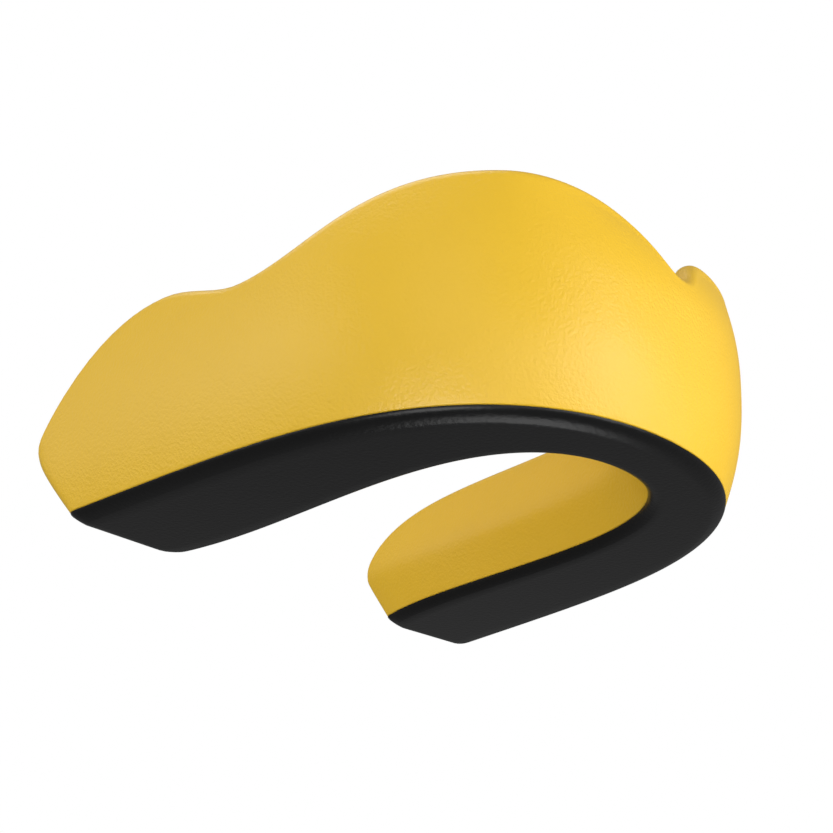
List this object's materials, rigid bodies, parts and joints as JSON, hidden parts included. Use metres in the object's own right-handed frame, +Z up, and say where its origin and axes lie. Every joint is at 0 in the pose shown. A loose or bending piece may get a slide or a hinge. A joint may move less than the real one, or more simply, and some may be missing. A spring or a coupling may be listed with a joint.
{
  "type": "sports mouthguard",
  "caption": "U-shaped boil-and-bite sports mouthguard: a high notched lip-side wall and a lower tongue-side wall around a lined tooth channel, on a black bite base.",
  "frame": {"origin": "under the middle of the shape, on the plane of the base's flat underside", "axes": "+X across the mouth to the wearer's left, -Y to the front where the lips are, +Z up from the bite base to the rims"},
  "size_m": [0.0648, 0.0612, 0.0249],
  "materials": {
    "shell": "satin, with a fine leathery grain",
    "base": "satin, with a fine leathery grain on its rounded edge",
    "liner": "smooth and slightly waxy"
  },
  "bodies": {
    "root": {"outer_shell": "shell", "bite_base": "base", "fitting_liner": "liner"}
  },
  "joints": []
}
